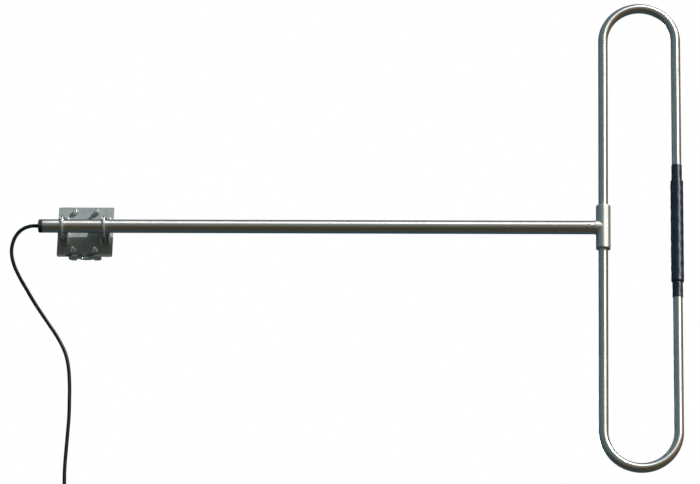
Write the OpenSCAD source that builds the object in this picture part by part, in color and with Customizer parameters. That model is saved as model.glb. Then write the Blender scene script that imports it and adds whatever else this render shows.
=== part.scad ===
// Side-mounted folded dipole antenna for the FM band.
// The origin is on the mast's axis at the height of the boom. +Z runs up the mast, +X out along the
// boom to the loop, and -Y is the front, where the boom stands off the mast. Millimetres.

/* [Boom] */
// Outside diameter of the boom tube
boom_d = 38; // [32:1:40]
// Wall of the boom tube
boom_wall = 2; // [1.5:0.5:3]
// Mast axis to the axis of the loop's back leg
loop_reach = 1455; // [900:1:1900]
// Mast axis to the boom's cable end
boom_tail = 115; // [105:1:180]
// Length of the end plug that shows outside the boom
plug_face_l = 12; // [8:1:20]
// Length of the end plug inside the boom
plug_stem_l = 22; // [15:1:35]

/* [Loop] */
// Outside diameter of the loop tube
loop_d = 27; // [22:1:28]
// Wall of the loop tube
loop_wall = 2; // [1.5:0.5:3]
// Height over the two bends
loop_h = 1392; // [900:1:1700]
// Back leg to front leg, centre to centre
loop_pitch = 205; // [150:1:300]
// How far the loop's middle hangs below the boom axis
loop_drop = 15.5; // [0:0.5:30]

/* [Tee] */
// Outside diameter of the tee's sleeve and branch
tee_d = 41; // [41:1:50]
// Length of the tee's sleeve
tee_l = 127; // [100:1:180]
// How far the branch stands out from the sleeve
branch_out = 3; // [2:1:15]
// Length of the spigot inside the boom
spigot_l = 45; // [30:1:70]
// Bore for the cable through the branch
branch_bore = 16; // [12:1:20]
// Half height of the chamber between the two tube ends
tee_chamber = 20; // [16:1:26]

/* [Feed point] */
// Gap between the two ends of the loop tube
feed_gap = 40; // [20:1:80]
// How far the gap's middle lies below the boom axis
feed_drop = 10; // [0:1:20]
// Outside diameter of the black sleeve
sleeve_d = 36.5; // [35:0.5:45]
// Length of the black sleeve
sleeve_l = 300; // [220:1:400]
// Outside diameter of the shrink collars
collar_d = 30; // [28.5:0.5:31]
// Length of each shrink collar that shows
collar_show = 46; // [20:1:80]
// Length of each shrink collar under the sleeve
collar_under = 30; // [15:1:60]
// Length of the insulating core in each tube end
core_in = 50; // [30:1:70]

/* [Mast clamp] */
// Diameter of the mast that the clamp takes
mast_d = 50; // [45:1:54]
// Width of the clamp plate
plate_w = 157; // [152:1:200]
// Height of the clamp plate
plate_h = 147; // [141:1:200]
// Thickness of the clamp plate
plate_t = 5; // [4:0.5:8]
// Mast axis to the back of the clamp plate
mast_gap = 30; // [30:1:40]
// Width of the mast saddle
mast_saddle_w = 92; // [84:1:96]
// Sheet thickness of the mast saddle
mast_saddle_t = 4; // [3:0.5:4]
// Corner cut on the mast saddle's flanges
saddle_corner = 8; // [4:1:12]
// Plate's upper and lower edges to the mast bolts
mast_bolt_edge = 16; // [16:0.5:22]

/* [Boom clamp] */
// Plate's side edges to the boom bolts
boom_bolt_edge = 19.5; // [15:0.5:20]
// Front of the plate to the back of the boom
saddle_standoff = 26; // [22:0.5:40]
// Width of a boom saddle
saddle_w = 26; // [18:1:30]
// Height of a boom saddle
saddle_h = 80; // [78:1:90]
// Sheet thickness of a boom saddle
saddle_t = 3; // [2:0.5:3]

/* [Bolts] */
// Diameter of the bent bolts
bolt_d = 8; // [6:1:9]
// Play between the mast and each leg of its bolt
bolt_play = 2; // [1:0.5:4]
// Across flats of the nuts
nut_af = 13; // [12:1:15]
// Thickness of the nuts
nut_t = 6.5; // [5:0.5:8]
// Diameter of the flat washers
washer_d = 16; // [14:1:17]
// Thickness of the flat washers
washer_t = 1.6; // [1:0.1:2.5]
// Thickness of the spring washers
spring_t = 2; // [1.5:0.1:3]
// How far the mast bolts stand out of the plate's front
mast_stud_out = 27; // [20:1:40]
// How far the boom bolts stand out behind their nuts
boom_stud_out = 8; // [4:1:15]

/* [Cable] */
// Outside diameter of the coaxial cable
cable_d = 10.3; // [8:0.1:11]
// Diameter of the thin coaxial line in the loop
line_d = 5; // [4:0.5:6]
// Bend of the thin line in the tee, to its centre
line_bend = 20; // [16:1:20]
// Mean diameter of the stored coil
coil_d = 116; // [108:1:124]

/* [Hidden] */

$fn = 64;
fit = 0.1;              // radial clearance of a push fit
bolt_fit = 0.5;         // radial clearance of a bolt hole
cut = 1;                // how far a cutting body runs past the face that it opens

// Colours
steel = [0.72, 0.72, 0.70];
sheet = [0.62, 0.62, 0.60];
zinc = [0.80, 0.80, 0.78];
black = [0.06, 0.06, 0.07];
nickel = [0.78, 0.77, 0.72];
brass = [0.83, 0.68, 0.32];
white_plastic = [0.92, 0.92, 0.90];
line_brown = [0.55, 0.35, 0.2];

// Boom and loop
boom_id = boom_d - 2 * boom_wall;
loop_id = loop_d - 2 * loop_wall;
plate_front = -(mast_gap + plate_t);
boom_y = plate_front - saddle_standoff - boom_d / 2;
branch_reach = tee_d / 2 + branch_out;
boom_end = loop_reach - branch_reach;
front_leg = loop_reach + loop_pitch;
bend_r = loop_pitch / 2;
bend_up = loop_h / 2 - loop_drop - loop_d / 2 - bend_r;
bend_down = -loop_h / 2 - loop_drop + loop_d / 2 + bend_r;
gap_top = feed_gap / 2 - feed_drop;
gap_bottom = -feed_gap / 2 - feed_drop;
lock_screw_d = 6;
lock_screw_in = 17;     // screw's distance from the boom's end
lock_screw_x = boom_end - lock_screw_in;

// Terminal screws
terminal_d = 4;
terminal_head_d = 7.6;
terminal_in = 12;       // screw's distance from the tube's end
terminal_top = gap_top + terminal_in;
terminal_bottom = gap_bottom - terminal_in;
core_bore = line_d + 2 * fit;

// Bolts: both pairs are bent alike, to the mast's diameter
mast_bolt_pitch = plate_h - 2 * mast_bolt_edge;
boom_bolt_pitch = plate_w - 2 * boom_bolt_edge;
bolt_r = mast_d / 2 + bolt_play + bolt_d / 2;
nut_stack = washer_t + spring_t + nut_t;
bolt_chamfer = 1;
bolt_hole = bolt_d + 2 * bolt_fit;
mast_bolt_bend_y = mast_d / 2 + bolt_d / 2 - bolt_r;
boom_bolt_bend_y = boom_y - boom_d / 2 - bolt_d / 2 + bolt_r;

// Notch of the boom saddles, a right-angled V whose flats touch the boom
notch_apex_y = boom_y + boom_d / 2 * sqrt(2);
flange_short = 8;       // boom's axis to the flanges' front edge
flange_front = boom_y + flange_short;

// Joint of the cable and the thin line, inside the boom
joint_x = -boom_tail + plug_stem_l + 30;
joint_l = 60;
joint_d = 15;

// Cable route outside the boom, down the mast's left side. Its points are chosen by hand.
ROUTE = [
    [-127, -80, 0], [-145, -80, 0], [-163, -80, -5], [-178, -80, -15], [-190, -80, -31],
    [-197, -79, -50], [-200, -77, -72], [-197, -75, -95], [-190, -71, -117], [-180, -66, -138],
    [-168, -60, -159], [-154, -52, -181], [-139, -44, -205], [-122, -36, -230], [-104, -29, -255],
    [-86, -24, -280], [-69, -20, -304], [-54, -18, -329], [-42, -17, -354], [-34, -17, -380],
    [-29, -17, -407], [-26, -17, -435], [-24, -17, -464], [-23, -17, -494], [-22, -17, -524],
    [-22, -17, -554], [-23, -17, -584], [-24, -17, -614], [-25, -17, -644], [-26, -17, -674],
    [-26, -17, -704], [-25, -17, -734], [-25, -17, -764], [-25, -17, -790], [-25, -17, -812]
];
coil_top = ROUTE[len(ROUTE) - 1];
coil_entry = 23;        // the route's end above the coil's middle
coil_centre = [coil_top[0] - coil_d / 2 - cable_d / 2, coil_top[1] + cable_d / 2, coil_top[2] - coil_entry];
coil_section = 2 * cable_d;

// Cable that hangs out of the coil, down to the connector
tail_l = 47;
tail_end = [coil_top[0], coil_centre[1] + cable_d / 2, coil_centre[2] - coil_entry - tail_l];
TAIL = [for (share = [1, 0.5, 0]) tail_end + [0, 0, share * tail_l]];

// Connector sizes, along its axis from the end of the cable's jacket
connector_edge = 0.8;
clamp_nut_grip = 6;     // how far the clamp nut reaches back over the jacket
clamp_nut_l = 9;
clamp_nut_af = 14;
body_d = 15.8;
body_l = 16;
socket_d = 10.4;        // ring inside the coupling nut that enters the mating socket
socket_l = 10;
coupling_d = 20.6;
coupling_l = 19;
coupling_lap = 8;       // how far the coupling nut reaches back over the body
coupling_bore = 16;
insert_d = 8.4;
insert_l = 5;
pin_seat_d = 3;
pin_seat_l = 6;
pin_d = 1.65;
pin_l = 2.4;
pin_tip_l = 0.8;

// A pipe along Z from z = 0, closed at neither end
module pipe(outer, inner, length) {
    difference() {
        cylinder(d = outer, h = length);
        translate([0, 0, -cut]) cylinder(d = inner, h = length + 2 * cut);
    }
}

// A cylinder along Z whose two end edges are cut at 45 degrees
module chamfered(d, length, c) {
    rotate_extrude() polygon([
        [0, 0], [d / 2 - c, 0], [d / 2, c], [d / 2, length - c], [d / 2 - c, length], [0, length]
    ]);
}

// Lays a body that points along Z so that it points along +X from the point [x, boom_y, 0]
module along_boom(x) {
    translate([x, boom_y, 0]) rotate([0, 90, 0]) children();
}

// Boom

module boom_tube() {
    color(steel) difference() {
        along_boom(-boom_tail) pipe(boom_d, boom_id, boom_tail + boom_end);
        translate([lock_screw_x, boom_y, 0]) rotate([90, 0, 0])
            cylinder(d = lock_screw_d + 2 * fit, h = boom_d, $fn = 32);
    }
}

// Rubber plug with a rounded face and a bore that grips the cable
module boom_end_plug() {
    round_r = 3;
    face_r = boom_d / 2;
    stem_r = boom_id / 2 - fit;
    color(black) along_boom(-boom_tail - plug_face_l) rotate_extrude() difference() {
        union() {
            translate([0, round_r]) square([face_r, plug_face_l - round_r]);
            square([face_r - round_r, plug_face_l]);
            translate([face_r - round_r, round_r]) circle(r = round_r);
            translate([0, plug_face_l - cut]) square([stem_r, plug_stem_l + cut]);
        }
        translate([-cut, -cut]) square([cut + cable_d / 2, plug_face_l + plug_stem_l + 2 * cut]);
    }
}

// Equal tee in one piece: sleeve for the loop, short branch, spigot in the boom
module tee_fitting() {
    edge = 1;
    color(steel) difference() {
        union() {
            translate([loop_reach, boom_y, -tee_l / 2]) chamfered(tee_d, tee_l, edge);
            along_boom(boom_end) cylinder(d = tee_d, h = branch_reach);
            along_boom(boom_end - spigot_l) cylinder(d = boom_id - 2 * fit, h = spigot_l + branch_reach);
        }
        translate([loop_reach, boom_y, -tee_l / 2 - cut]) cylinder(d = loop_id, h = tee_l + 2 * cut);
        for (side = [0, 1]) mirror([0, 0, side])
            translate([loop_reach, boom_y, tee_chamber])
                cylinder(d = loop_d + 2 * fit, h = tee_l / 2 - tee_chamber + cut);
        along_boom(boom_end - spigot_l - cut) cylinder(d = branch_bore, h = spigot_l + branch_reach + cut);
        translate([lock_screw_x, boom_y, 0]) rotate([90, 0, 0])
            cylinder(d = lock_screw_d, h = boom_d, $fn = 32);
    }
}

// Button-headed screw through the boom's front wall into the spigot
module boom_lock_screw() {
    head_d = 9;
    head_h = 1.8;
    socket = 3.5;
    socket_h = 1;
    shank = boom_d / 2 - branch_bore / 2;
    color(zinc) translate([lock_screw_x, boom_y, 0]) rotate([90, 0, 0]) difference() {
        union() {
            translate([0, 0, boom_d / 2 - shank])
                cylinder(d = lock_screw_d, h = shank + head_h / 2, $fn = 32);
            translate([0, 0, boom_d / 2]) chamfered(head_d, head_h, 0.5);
        }
        translate([0, 0, boom_d / 2 + head_h - socket_h]) cylinder(d = socket, h = socket_h + cut, $fn = 6);
    }
}

// Loop

// One half of the loop: back leg from the tee, half round bend, front leg to the feed gap
module half_loop(bend_z, back_z, front_z, up) {
    for_up = up ? 0 : 1;
    translate([0, boom_y, 0]) {
        translate([loop_reach, 0, min(bend_z, back_z)]) pipe(loop_d, loop_id, abs(bend_z - back_z));
        translate([front_leg, 0, min(bend_z, front_z)]) pipe(loop_d, loop_id, abs(bend_z - front_z));
        translate([loop_reach + bend_r, 0, bend_z]) mirror([0, 0, for_up]) rotate([90, 0, 0])
            rotate_extrude(angle = 180) translate([bend_r, 0]) difference() {
                circle(d = loop_d);
                circle(d = loop_id);
            }
    }
}

// Countersunk hole for a terminal screw, entered from the loop's outer side
module terminal_hole(z) {
    hole_d = terminal_d + 2 * fit;
    sink_d = terminal_head_d + 2 * fit;
    translate([front_leg + loop_d / 2, boom_y, z]) rotate([0, -90, 0]) {
        cylinder(d = hole_d, h = loop_d / 2, $fn = 32);
        cylinder(d1 = sink_d, d2 = hole_d, h = loop_wall, $fn = 32);
        translate([0, 0, -cut]) cylinder(d = sink_d, h = cut, $fn = 32);
    }
}

module upper_loop_tube() {
    color(steel) difference() {
        half_loop(bend_up, tee_chamber, gap_top, true);
        terminal_hole(terminal_top);
    }
}

module lower_loop_tube() {
    color(steel) difference() {
        half_loop(bend_down, -tee_chamber, gap_bottom, false);
        terminal_hole(terminal_bottom);
    }
}

// Insulating core that plugs both tube ends and keeps them apart
module feed_core() {
    edge = 1;
    color(white_plastic) difference() {
        translate([front_leg, boom_y, 0]) union() {
            translate([0, 0, gap_bottom - core_in])
                chamfered(loop_id - 2 * fit, feed_gap + 2 * core_in, edge);
            translate([0, 0, gap_bottom]) cylinder(d = loop_d, h = feed_gap);
        }
        translate([front_leg, boom_y, gap_bottom - core_in - cut])
            cylinder(d = core_bore, h = feed_gap + 2 * core_in + 2 * cut, $fn = 32);
        for (z = [terminal_top, terminal_bottom]) translate([front_leg, boom_y, z])
            rotate([0, 90, 0]) cylinder(d = terminal_d + 2 * fit, h = loop_d, $fn = 32);
    }
}

// One screw fixes the cable's screen to the upper tube, the other its inner wire to the lower one
module terminal_screws() {
    color(brass) for (z = [terminal_top, terminal_bottom])
        translate([front_leg + loop_d / 2 - fit, boom_y, z]) rotate([0, -90, 0]) {
            cylinder(d = terminal_d, h = loop_d / 2 - core_bore / 2 - fit, $fn = 32);
            cylinder(d1 = terminal_head_d - 2 * fit, d2 = terminal_d, h = loop_wall - fit, $fn = 32);
        }
}

// Thick black sleeve over the feed gap, its outer edges rounded
module feed_sleeve() {
    edge = 3;
    inner_r = collar_d / 2 + fit;
    outer_r = sleeve_d / 2;
    color(black) translate([front_leg, boom_y, -feed_drop - sleeve_l / 2]) rotate_extrude() difference() {
        union() {
            square([outer_r - edge, sleeve_l]);
            translate([0, edge]) square([outer_r, sleeve_l - 2 * edge]);
            for (z = [edge, sleeve_l - edge]) translate([outer_r - edge, z]) circle(r = edge);
        }
        translate([-cut, -cut]) square([inner_r + cut, sleeve_l + 2 * cut]);
    }
}

// Shrink collar that runs out from under the sleeve onto the bare tube
module shrink_collar() {
    lip = 1;
    inner_r = loop_d / 2 + fit;
    color(black) rotate_extrude() polygon([
        [inner_r, 0], [collar_d / 2, 0], [collar_d / 2, collar_under + collar_show - lip],
        [collar_d / 2 - lip, collar_under + collar_show], [inner_r, collar_under + collar_show]
    ]);
}

module upper_collar() {
    translate([front_leg, boom_y, -feed_drop + sleeve_l / 2 - collar_under]) shrink_collar();
}

module lower_collar() {
    translate([front_leg, boom_y, -feed_drop - sleeve_l / 2 + collar_under])
        mirror([0, 0, 1]) shrink_collar();
}

// Mast clamp

// Holes along Y for both bolts, at the four corners of a pitch by leg spacing rectangle
module bolt_holes(pitch_x, pitch_z, y0, depth, d) {
    for (x = [-pitch_x / 2, pitch_x / 2]) for (z = [-pitch_z / 2, pitch_z / 2])
        translate([x, y0, z]) rotate([-90, 0, 0]) cylinder(d = d, h = depth, $fn = 48);
}

module clamp_plate() {
    corner = 2;
    color(sheet) difference() {
        translate([-plate_w / 2, plate_front + plate_t, -plate_h / 2]) rotate([90, 0, 0])
            linear_extrude(plate_t) polygon([
                [corner, 0], [plate_w - corner, 0], [plate_w, corner], [plate_w, plate_h - corner],
                [plate_w - corner, plate_h], [corner, plate_h], [0, plate_h - corner], [0, corner]
            ]);
        bolt_holes(2 * bolt_r, mast_bolt_pitch, plate_front - cut, plate_t + 2 * cut, bolt_hole);
        bolt_holes(boom_bolt_pitch, 2 * bolt_r, plate_front - cut, plate_t + 2 * cut, bolt_hole);
    }
}

// Folded channel on the plate's back; its two flanges are notched to sit on the mast
module mast_saddle() {
    bend = 2 * mast_saddle_t;
    back = -mast_gap;
    color(sheet) difference() {
        translate([-mast_saddle_w / 2, 0, 0]) rotate([90, 0, 90]) linear_extrude(mast_saddle_w) {
            translate([back, -plate_h / 2 + bend]) square([mast_saddle_t, plate_h - 2 * bend]);
            for (side = [0, 1]) mirror([0, side]) {
                translate([back + bend, -plate_h / 2]) square([-back - bend, mast_saddle_t]);
                intersection() {
                    translate([back + bend, -plate_h / 2 + bend]) difference() {
                        circle(r = bend);
                        circle(r = bend - mast_saddle_t);
                    }
                    translate([back, -plate_h / 2]) square(bend);
                }
            }
        }
        translate([0, 0, -plate_h / 2 - cut]) cylinder(d = mast_d, h = plate_h + 2 * cut, $fn = 128);
        for (side = [0, 1]) mirror([side, 0, 0])
            translate([mast_saddle_w / 2, 0, -plate_h / 2 - cut])
                rotate([0, 0, 45]) translate([-saddle_corner / sqrt(2), -saddle_corner / sqrt(2), 0])
                    cube([saddle_corner * 2, saddle_corner * 2, plate_h + 2 * cut]);
        bolt_holes(2 * bolt_r, mast_bolt_pitch, -mast_gap - cut, mast_saddle_t + 2 * cut, bolt_hole);
    }
}

// Folded saddle between the plate and the boom: a web on the plate and two V-notched flanges
module boom_saddle(x) {
    web_back = plate_front;
    web_front = plate_front - saddle_t;
    ear = web_front - 2;
    half = saddle_h / 2;
    shoulder = 8;
    mouth = notch_apex_y - flange_front;
    color(sheet) difference() {
        translate([x - saddle_w / 2, 0, 0]) rotate([90, 0, 90]) linear_extrude(saddle_w) polygon([
            [web_back, -half], [web_back, half], [ear, half], [flange_front, half - shoulder],
            [flange_front, mouth], [notch_apex_y, 0], [flange_front, -mouth],
            [flange_front, -half + shoulder], [ear, -half]
        ]);
        translate([x - saddle_w / 2 + saddle_t, flange_front - cut, -half - cut])
            cube([saddle_w - 2 * saddle_t, web_front - flange_front + cut, saddle_h + 2 * cut]);
        bolt_holes(2 * abs(x), 2 * bolt_r, web_front - cut, saddle_t + 2 * cut, bolt_hole);
    }
}

module left_boom_saddle() {
    boom_saddle(-boom_bolt_pitch / 2);
}

module right_boom_saddle() {
    boom_saddle(boom_bolt_pitch / 2);
}

// Bolts

// Bent bolt in the XY plane: bend centre at the origin, bend towards +Y, legs running to -Y
module bent_bolt(leg) {
    color(zinc) {
        rotate_extrude(angle = 180) translate([bolt_r, 0]) circle(d = bolt_d, $fn = 48);
        for (side = [-1, 1]) translate([side * bolt_r, 0, 0]) rotate([90, 0, 0]) rotate_extrude($fn = 48)
            polygon([
                [0, 0], [bolt_d / 2, 0], [bolt_d / 2, leg - bolt_chamfer],
                [bolt_d / 2 - bolt_chamfer, leg], [0, leg]
            ]);
    }
}

module mast_bolt(z) {
    translate([0, mast_bolt_bend_y, z]) bent_bolt(mast_bolt_bend_y - plate_front + mast_stud_out);
}

module upper_mast_bolt() {
    mast_bolt(mast_bolt_pitch / 2);
}

module lower_mast_bolt() {
    mast_bolt(-mast_bolt_pitch / 2);
}

module boom_bolt(x) {
    leg = plate_front + plate_t + nut_stack + boom_stud_out - boom_bolt_bend_y;
    translate([x, boom_bolt_bend_y, 0]) rotate([0, 90, 180]) bent_bolt(leg);
}

module left_boom_bolt() {
    boom_bolt(-boom_bolt_pitch / 2);
}

module right_boom_bolt() {
    boom_bolt(boom_bolt_pitch / 2);
}

// Places its children at the four bolt legs, pointing away from the plate along -Y or +Y
module at_mast_legs() {
    for (x = [-bolt_r, bolt_r]) for (z = [-mast_bolt_pitch / 2, mast_bolt_pitch / 2])
        translate([x, plate_front, z]) rotate([90, 0, 0]) children();
}

module at_boom_legs() {
    for (x = [-boom_bolt_pitch / 2, boom_bolt_pitch / 2]) for (z = [-bolt_r, bolt_r])
        translate([x, plate_front + plate_t, z]) rotate([-90, 0, 0]) children();
}

module flat_washer() {
    color(zinc) pipe(washer_d, bolt_d + 2 * fit, washer_t);
}

// Split ring: a slot is cut through its rim
module spring_washer() {
    ring_d = bolt_d + 6;
    slot = 1.5;
    color(zinc) translate([0, 0, washer_t]) difference() {
        pipe(ring_d, bolt_d + 2 * fit, spring_t);
        translate([0, -slot / 2, -cut]) cube([ring_d, slot, spring_t + 2 * cut]);
    }
}

// Hexagon nut with its corners turned off at 30 degrees
module hex_nut() {
    corner_d = nut_af / cos(30);
    bevel = (corner_d - nut_af) / 2;
    rise = bevel * tan(30);
    color(zinc) translate([0, 0, washer_t + spring_t]) difference() {
        intersection() {
            cylinder(d = corner_d, h = nut_t, $fn = 6);
            rotate_extrude() polygon([
                [0, 0], [corner_d / 2 - bevel, 0], [corner_d / 2, rise],
                [corner_d / 2, nut_t - rise], [corner_d / 2 - bevel, nut_t], [0, nut_t]
            ]);
        }
        translate([0, 0, -cut]) cylinder(d = bolt_d + 2 * fit, h = nut_t + 2 * cut, $fn = 48);
    }
}

module boom_bolt_washers() {
    at_boom_legs() flat_washer();
}

module boom_spring_washers() {
    at_boom_legs() spring_washer();
}

module boom_bolt_nuts() {
    at_boom_legs() hex_nut();
}

module mast_bolt_washers() {
    at_mast_legs() flat_washer();
}

module mast_spring_washers() {
    at_mast_legs() spring_washer();
}

module mast_bolt_nuts() {
    at_mast_legs() hex_nut();
}

// Cable inside the boom and the loop

module cable_lead_in() {
    start = -boom_tail - plug_face_l;
    color(black) along_boom(start) cylinder(d = cable_d, h = joint_x - start);
}

// Moulded joint between the outer cable and the thin line
module cable_joint() {
    edge = 3;
    color(black) along_boom(joint_x) chamfered(joint_d, joint_l, edge);
}

// Thin line from the joint through the tee and round the upper bend to the feed gap. Its screen ends
// at the upper terminal screw, and its inner wire runs on past the lower one.
module loop_line() {
    wire_d = 1.6;
    straight_end = loop_reach - line_bend;
    screen_end = terminal_top - terminal_d * 2;
    wire_end = terminal_bottom - terminal_d;
    color(line_brown) {
        along_boom(joint_x + joint_l) cylinder(d = line_d, h = straight_end - joint_x - joint_l, $fn = 32);
        translate([straight_end, boom_y, line_bend]) rotate([90, 0, 0]) rotate([0, 0, -90])
            rotate_extrude(angle = 90) translate([line_bend, 0]) circle(d = line_d, $fn = 32);
        translate([loop_reach, boom_y, line_bend]) cylinder(d = line_d, h = bend_up - line_bend, $fn = 32);
        translate([loop_reach + bend_r, boom_y, bend_up]) rotate([90, 0, 0])
            rotate_extrude(angle = 180) translate([bend_r, 0]) circle(d = line_d, $fn = 32);
        translate([front_leg, boom_y, screen_end]) cylinder(d = line_d, h = bend_up - screen_end, $fn = 32);
        translate([front_leg, boom_y, wire_end]) cylinder(d = wire_d, h = screen_end - wire_end, $fn = 32);
    }
}

// Cable outside the boom

// Points of a ring of n around p, square to the direction t
function ring(p, t, r, n) =
    let (across = cross(t, [0, 1, 0]), u = across / norm(across), v = cross(t, u) / norm(cross(t, u)))
    [for (i = [0:n - 1]) p + r * (cos(360 * i / n) * u + sin(360 * i / n) * v)];

// One closed tube swept along the route's points
module sweep(route, d, n) {
    last = len(route) - 1;
    tangents = [for (i = [0:last]) route[min(i + 1, last)] - route[max(i - 1, 0)]];
    points = [for (i = [0:last]) each ring(route[i], tangents[i], d / 2, n)];
    walls = [for (i = [0:last - 1]) for (j = [0:n - 1])
        [i * n + j, i * n + (j + 1) % n, (i + 1) * n + (j + 1) % n, (i + 1) * n + j]];
    polyhedron(
        points = points,
        faces = concat(
            walls,
            [[for (j = [n - 1:-1:0]) j]],
            [[for (j = [0:n - 1]) last * n + j]]
        )
    );
}

module coax_cable() {
    color(black) sweep(ROUTE, cable_d, 10);
}

// The cable's stored length in three turns, two strands wide and two deep where the tie holds them
module cable_coil() {
    r = cable_d / 2;
    color(black) translate(coil_centre) rotate([90, 0, 0]) rotate_extrude($fn = 96)
        translate([coil_d / 2, 0]) {
            square([coil_section - 2 * r, coil_section], center = true);
            square([coil_section, coil_section - 2 * r], center = true);
            for (x = [-r, r]) for (y = [-r, r]) translate([x, y]) circle(r = r, $fn = 32);
        }
}

// Strap round the coil where the cable comes in
module coil_tie() {
    strap = 2;
    strap_w = 12;
    play = 0.5;
    inner = coil_section + 2 * play;
    color(black) translate([coil_top[0] - cable_d / 2, coil_centre[1], coil_centre[2]]) difference() {
        cube([inner + 2 * strap, inner + 2 * strap, strap_w], center = true);
        cube([inner, inner, strap_w + 2 * cut], center = true);
    }
}

module cable_tail() {
    color(black) sweep(TAIL, cable_d, 10);
}

// Connector: screw-on coaxial plug that hangs from the cable's end, mouth down
module plug_part(down) {
    translate([tail_end[0], tail_end[1], tail_end[2] - down]) mirror([0, 0, 1]) children();
}

module connector_clamp_nut() {
    corner_d = clamp_nut_af / cos(30);
    length = clamp_nut_grip + clamp_nut_l;
    color(nickel) plug_part(-clamp_nut_grip) difference() {
        intersection() {
            cylinder(d = corner_d, h = length, $fn = 6);
            chamfered(corner_d, length, connector_edge);
        }
        translate([0, 0, -cut]) cylinder(d = cable_d + 2 * fit, h = clamp_nut_grip + cut);
    }
}

module connector_body() {
    color(nickel) plug_part(clamp_nut_l) {
        cylinder(d = body_d, h = body_l);
        translate([0, 0, body_l]) pipe(socket_d, insert_d, socket_l);
    }
}

// Coupling nut, free to turn on the body, with a knurled grip
module connector_coupling() {
    grooves = 24;
    groove_d = 1.6;
    groove_out = 0.3;   // how far a groove's centre lies outside the grip
    plain = 2;          // plain band behind the grip
    rim = 4;            // plain band in front of it
    color(nickel) plug_part(clamp_nut_l + coupling_lap) difference() {
        chamfered(coupling_d, coupling_l, connector_edge);
        translate([0, 0, -cut]) cylinder(d = body_d + 4 * fit, h = coupling_lap + 3 * fit + cut);
        translate([0, 0, coupling_lap]) cylinder(d = coupling_bore, h = coupling_l);
        for (i = [0:grooves - 1]) rotate([0, 0, i * 360 / grooves])
            translate([coupling_d / 2 + groove_out, 0, plain])
                cylinder(d = groove_d, h = coupling_l - plain - rim, $fn = 16);
    }
}

module connector_insert() {
    color(white_plastic) plug_part(clamp_nut_l + body_l) difference() {
        cylinder(d = insert_d - 2 * fit, h = insert_l);
        translate([0, 0, -cut]) cylinder(d = pin_seat_d, h = insert_l + 2 * cut, $fn = 32);
    }
}

module connector_pin() {
    tip_d = 0.6;
    color(brass) plug_part(clamp_nut_l + body_l) {
        cylinder(d = pin_seat_d - 2 * fit, h = pin_seat_l, $fn = 32);
        translate([0, 0, pin_seat_l]) cylinder(d = pin_d, h = pin_l, $fn = 32);
        translate([0, 0, pin_seat_l + pin_l]) cylinder(d1 = pin_d, d2 = tip_d, h = pin_tip_l, $fn = 32);
    }
}

boom_tube();
boom_end_plug();
tee_fitting();
boom_lock_screw();
upper_loop_tube();
lower_loop_tube();
feed_core();
terminal_screws();
feed_sleeve();
upper_collar();
lower_collar();
clamp_plate();
mast_saddle();
left_boom_saddle();
right_boom_saddle();
left_boom_bolt();
right_boom_bolt();
upper_mast_bolt();
lower_mast_bolt();
boom_bolt_washers();
boom_spring_washers();
boom_bolt_nuts();
mast_bolt_washers();
mast_spring_washers();
mast_bolt_nuts();
cable_lead_in();
cable_joint();
loop_line();
coax_cable();
cable_coil();
coil_tie();
cable_tail();
connector_clamp_nut();
connector_body();
connector_coupling();
connector_insert();
connector_pin();
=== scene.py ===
"""FM dipole antenna: a folded loop of stainless tube on a horizontal boom, with its mast clamp and cable.

Metres, in the part's own frame: the origin is on the mast's axis at the height of the boom, +Z runs up
the mast, +X runs out along the boom to the loop, and -Y is the front.
"""

import bmesh
import bpy
import numpy as np
from mathutils import Matrix, Vector


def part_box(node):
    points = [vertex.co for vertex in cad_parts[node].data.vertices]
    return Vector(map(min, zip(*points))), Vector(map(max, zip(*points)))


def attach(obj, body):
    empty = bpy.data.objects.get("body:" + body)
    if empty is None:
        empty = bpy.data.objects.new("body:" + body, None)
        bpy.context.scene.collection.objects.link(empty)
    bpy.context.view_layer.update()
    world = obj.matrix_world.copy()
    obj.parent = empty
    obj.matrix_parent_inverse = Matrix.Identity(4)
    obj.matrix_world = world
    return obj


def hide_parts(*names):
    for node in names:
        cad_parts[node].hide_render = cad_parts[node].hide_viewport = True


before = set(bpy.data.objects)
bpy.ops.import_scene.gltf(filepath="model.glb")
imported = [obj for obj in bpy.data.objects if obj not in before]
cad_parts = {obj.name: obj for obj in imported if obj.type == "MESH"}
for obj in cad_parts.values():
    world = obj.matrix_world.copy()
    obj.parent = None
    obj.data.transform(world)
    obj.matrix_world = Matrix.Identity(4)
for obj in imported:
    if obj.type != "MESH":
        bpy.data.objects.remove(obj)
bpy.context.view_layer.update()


# Camera. The picture was taken from the ground, a little to the right of the antenna's middle, with a
# long lens that looks up at the boom.

camera_place = np.array([1.3174, -9.4709, -3.5842])
camera_azimuth = np.radians(3.4577)
camera_elevation = np.radians(20.615)
camera_roll = np.radians(1.398)
picture_width_px = 700
focal_px = 3602

ahead = np.array([
    -np.sin(camera_azimuth) * np.cos(camera_elevation),
    np.cos(camera_azimuth) * np.cos(camera_elevation),
    np.sin(camera_elevation),
])
level = np.array([np.cos(camera_azimuth), np.sin(camera_azimuth), 0])
upright = np.cross(level, ahead)
picture_right = np.cos(camera_roll) * level + np.sin(camera_roll) * upright
picture_up = np.cos(camera_roll) * upright - np.sin(camera_roll) * level

camera = bpy.data.objects.new("camera", bpy.data.cameras.new("camera"))
camera.data.sensor_width = 36
camera.data.lens = 36 * focal_px / picture_width_px
camera.data.clip_end = 200
camera.matrix_world = Matrix.Translation(Vector(camera_place)) @ Matrix(
    np.column_stack([picture_right, picture_up, -ahead]).tolist()
).to_4x4()
bpy.context.scene.collection.objects.link(camera)
bpy.context.scene.camera = camera


# Studio. A white backdrop, a key light high on the right and a broad fill from behind that give the
# shade, and three lights that only give gloss. Reflections run from a teal above to a brown below, cooler
# on the left and warmer on the right, as over open ground. The floor lies under the camera.

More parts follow.
